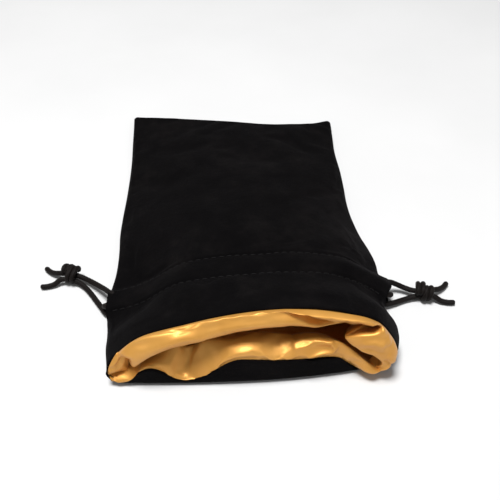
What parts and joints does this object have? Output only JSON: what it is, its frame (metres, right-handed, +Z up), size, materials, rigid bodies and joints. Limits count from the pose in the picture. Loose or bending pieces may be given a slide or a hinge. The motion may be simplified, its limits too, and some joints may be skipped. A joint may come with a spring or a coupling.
{
  "type": "drawstring dice bag",
  "caption": "Small lined velvet pouch lying flat with its mouth open, closed by knotted drawstrings that run through a stitched casing.",
  "frame": {"origin": "under the middle of the bag, on the surface it lies on", "axes": "+Z up; the bag's length runs along Y, with the mouth towards -Y and the sewn closed end towards +Y; +X is the bag's right side seen from above with the mouth nearest"},
  "size_m": [0.1568, 0.1602, 0.0298],
  "materials": {
    "velvet_black": "short black velvet pile, matte with a faint sheen",
    "satin_gold": "gold satin weave, soft gloss",
    "thread_black": "black sewing thread",
    "cord_black": "black twisted cord, slightly glossy"
  },
  "bodies": {
    "back": {"outer_back_panel": "velvet_black", "lining_back_panel": "satin_gold", "side_seam_left_body": "thread_black", "side_seam_left_header": "thread_black", "side_seam_right_body": "thread_black", "side_seam_right_header": "thread_black", "lining_side_seam_left": "thread_black", "lining_side_seam_right": "thread_black", "bottom_seam": "thread_black", "lining_bottom_seam": "thread_black", "rim_seam_back": "thread_black", "casing_stitches_back_far": "thread_black", "casing_stitches_back_near": "thread_black", "left_cord_back_run": "cord_black", "right_cord_back_run": "cord_black"},
    "front": {"outer_front_panel": "velvet_black", "lining_front_panel": "satin_gold", "rim_seam_front": "thread_black", "casing_stitches_front_far": "thread_black", "casing_stitches_front_near": "thread_black", "left_cord_front_run": "cord_black", "right_cord_front_run": "cord_black"},
    "left_loop": {"left_knot": "cord_black", "left_cord_strand_front": "cord_black", "left_cord_strand_back": "cord_black", "left_cord_tail_far": "cord_black", "left_cord_tail_near": "cord_black"},
    "right_loop": {"right_knot": "cord_black", "right_cord_strand_front": "cord_black", "right_cord_strand_back": "cord_black", "right_cord_tail_far": "cord_black", "right_cord_tail_near": "cord_black"}
  },
  "joints": [
    {"name": "mouth_opening", "type": "hinge", "parent": "back", "child": "front", "pos_m": [0, 0.0806, 0.00225], "axis": [-1, 0, 0], "range_deg": [0, 8]},
    {"name": "left_pull", "type": "slide", "parent": "back", "child": "left_loop", "axis": [-1, 0, 0], "range_m": [0, 0.02]},
    {"name": "right_pull", "type": "slide", "parent": "back", "child": "right_loop", "axis": [1, 0, 0], "range_m": [0, 0.02]}
  ]
}
